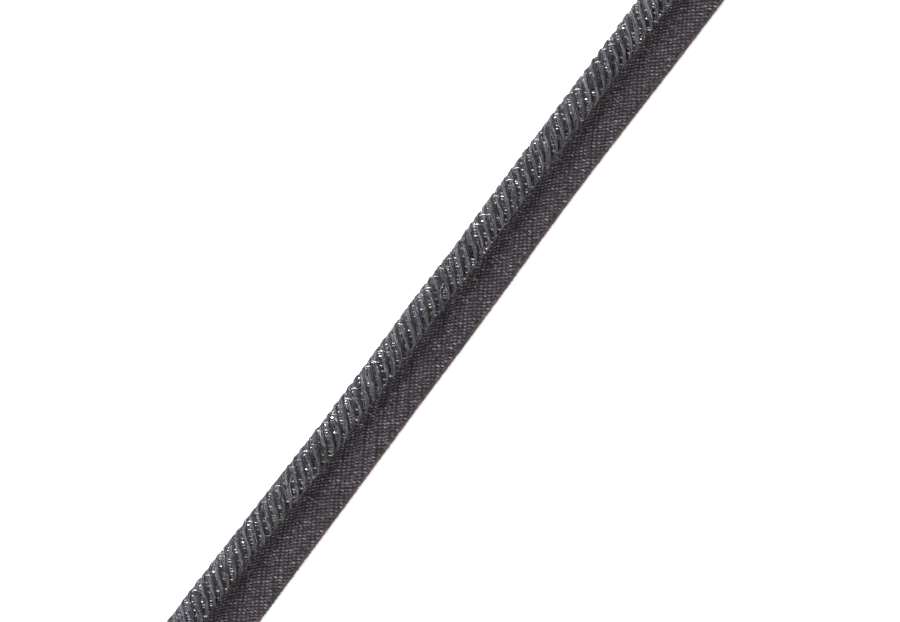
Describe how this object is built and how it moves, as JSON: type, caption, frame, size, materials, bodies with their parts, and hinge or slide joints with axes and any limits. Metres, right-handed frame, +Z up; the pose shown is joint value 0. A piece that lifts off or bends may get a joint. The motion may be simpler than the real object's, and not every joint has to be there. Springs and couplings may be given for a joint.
{
  "type": "flanged cord trim",
  "caption": "Cut length of twisted cord trim with a woven lip tape sewn along one side, lying straight, for edging cushions, curtains and upholstery.",
  "frame": {"origin": "middle of the trim's footprint, on the surface that it lies on", "axes": "+X along the trim, +Y from the lip towards the cord, +Z up"},
  "size_m": [0.25, 0.0202, 0.0077],
  "materials": {
    "cord_yarn": "matt blue-grey and charcoal yarn with silver metallic thread",
    "tape_twill": "plum-charcoal twill weave, matt with a faint sheen"
  },
  "bodies": {
    "root": {"twisted_cord": "cord_yarn", "lip_tape": "tape_twill"}
  },
  "joints": []
}
